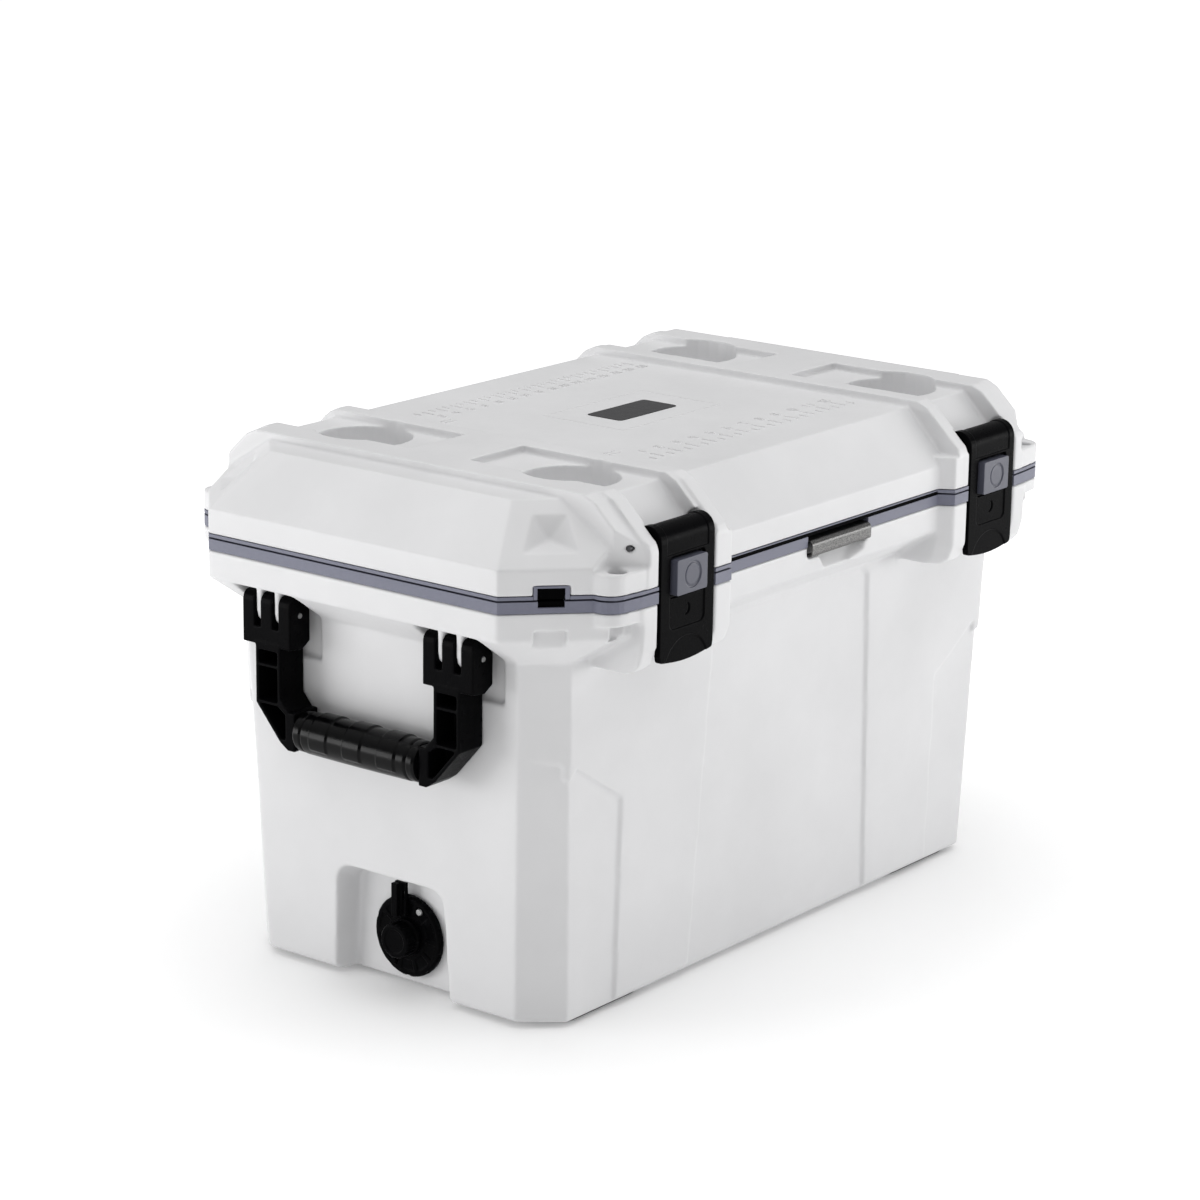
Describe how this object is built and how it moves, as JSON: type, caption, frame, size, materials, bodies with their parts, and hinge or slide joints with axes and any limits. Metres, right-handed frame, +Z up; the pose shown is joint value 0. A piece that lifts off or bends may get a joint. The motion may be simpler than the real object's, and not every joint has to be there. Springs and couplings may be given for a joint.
{
  "type": "cooler chest",
  "caption": "Hard-sided insulated chest with hinged lid, pull-down front latches with push buttons, swing-up end handles, bottle opener and drain plug.",
  "frame": {"origin": "floor level under the middle of the chest's outer box", "axes": "+X along the chest with the drain at the -X end, +Y from the latches to the hinges, +Z up"},
  "size_m": [0.788, 0.499, 0.479],
  "materials": {
    "white_plastic": "fine moulded satin",
    "grey_plastic": "satin",
    "black_plastic": "satin",
    "badge_plastic": "satin",
    "black_rubber": "matte",
    "steel": "brushed",
    "insulation_foam": "porous"
  },
  "bodies": {
    "tub": {"outer_shell": "white_plastic", "collar_left": "white_plastic", "collar_right": "white_plastic", "inner_liner": "grey_plastic", "rim_band": "grey_plastic", "foam_core": "insulation_foam", "foot_1": "black_rubber", "foot_2": "black_rubber", "foot_3": "black_rubber", "foot_4": "black_rubber", "bottle_opener": "steel", "latch_keeper_left": "black_plastic", "latch_keeper_right": "black_plastic", "hinge_base_left": "black_plastic", "hinge_base_right": "black_plastic", "hinge_rod_left": "steel", "hinge_rod_right": "steel", "hinge_base_screw_left_1": "steel", "hinge_base_screw_left_2": "steel", "hinge_base_screw_right_1": "steel", "hinge_base_screw_right_2": "steel", "drain_flange": "black_plastic", "drain_gasket": "black_rubber", "drain_spout": "black_plastic", "drain_nut": "black_plastic", "drain_tether": "black_plastic", "drain_screw_1": "steel", "drain_screw_2": "steel", "handle_pin_left_front": "steel", "handle_pin_left_rear": "steel", "handle_pin_right_front": "steel", "handle_pin_right_rear": "steel"},
    "lid": {"lid_middle": "white_plastic", "lid_left_front": "white_plastic", "lid_left_rear": "white_plastic", "lid_right_front": "white_plastic", "lid_right_rear": "white_plastic", "lid_liner": "grey_plastic", "lid_foam": "insulation_foam", "lid_gasket": "black_rubber", "badge_plate": "badge_plastic", "hinge_leaf_left": "black_plastic", "hinge_leaf_right": "black_plastic", "hinge_leaf_screw_left_1": "steel", "hinge_leaf_screw_left_2": "steel", "hinge_leaf_screw_right_1": "steel", "hinge_leaf_screw_right_2": "steel", "latch_pin_left": "steel", "latch_pin_right": "steel"},
    "handle_left": {"handle_frame_left": "black_plastic", "handle_grip_left": "black_rubber"},
    "handle_right": {"handle_frame_right": "black_plastic", "handle_grip_right": "black_rubber"},
    "latch_left": {"latch_body_left": "black_plastic"},
    "latch_right": {"latch_body_right": "black_plastic"},
    "button_left": {"latch_button_left": "grey_plastic"},
    "button_right": {"latch_button_right": "grey_plastic"},
    "drain_plug": {"drain_cap": "black_plastic"}
  },
  "joints": [
    {"name": "lid_hinge", "type": "hinge", "parent": "tub", "child": "lid", "pos_m": [0, 0.241, 0.4005], "axis": [-1, 0, 0], "range_deg": [0, 100]},
    {"name": "handle_left_swing", "type": "hinge", "parent": "tub", "child": "handle_left", "pos_m": [-0.372, 0, 0.3385], "axis": [0, 1, 0], "range_deg": [0, 90]},
    {"name": "handle_right_swing", "type": "hinge", "parent": "tub", "child": "handle_right", "pos_m": [0.372, 0, 0.3385], "axis": [0, -1, 0], "range_deg": [0, 90]},
    {"name": "latch_left_swing", "type": "hinge", "parent": "lid", "child": "latch_left", "pos_m": [-0.239, -0.23, 0.4375], "axis": [-1, 0, 0], "range_deg": [0, 110]},
    {"name": "latch_right_swing", "type": "hinge", "parent": "lid", "child": "latch_right", "pos_m": [0.239, -0.23, 0.4375], "axis": [-1, 0, 0], "range_deg": [0, 110]},
    {"name": "button_left_press", "type": "slide", "parent": "latch_left", "child": "button_left", "axis": [0, 1, 0], "range_m": [0, 0.003], "stiffness_N_per_m": 800},
    {"name": "button_right_press", "type": "slide", "parent": "latch_right", "child": "button_right", "axis": [0, 1, 0], "range_m": [0, 0.003], "stiffness_N_per_m": 800},
    {"name": "drain_plug_turn", "type": "hinge", "parent": "tub", "child": "drain_plug", "pos_m": [-0.338, -0.009, 0.05], "axis": [-1, 0, 0], "range_deg": [0, 360]}
  ]
}
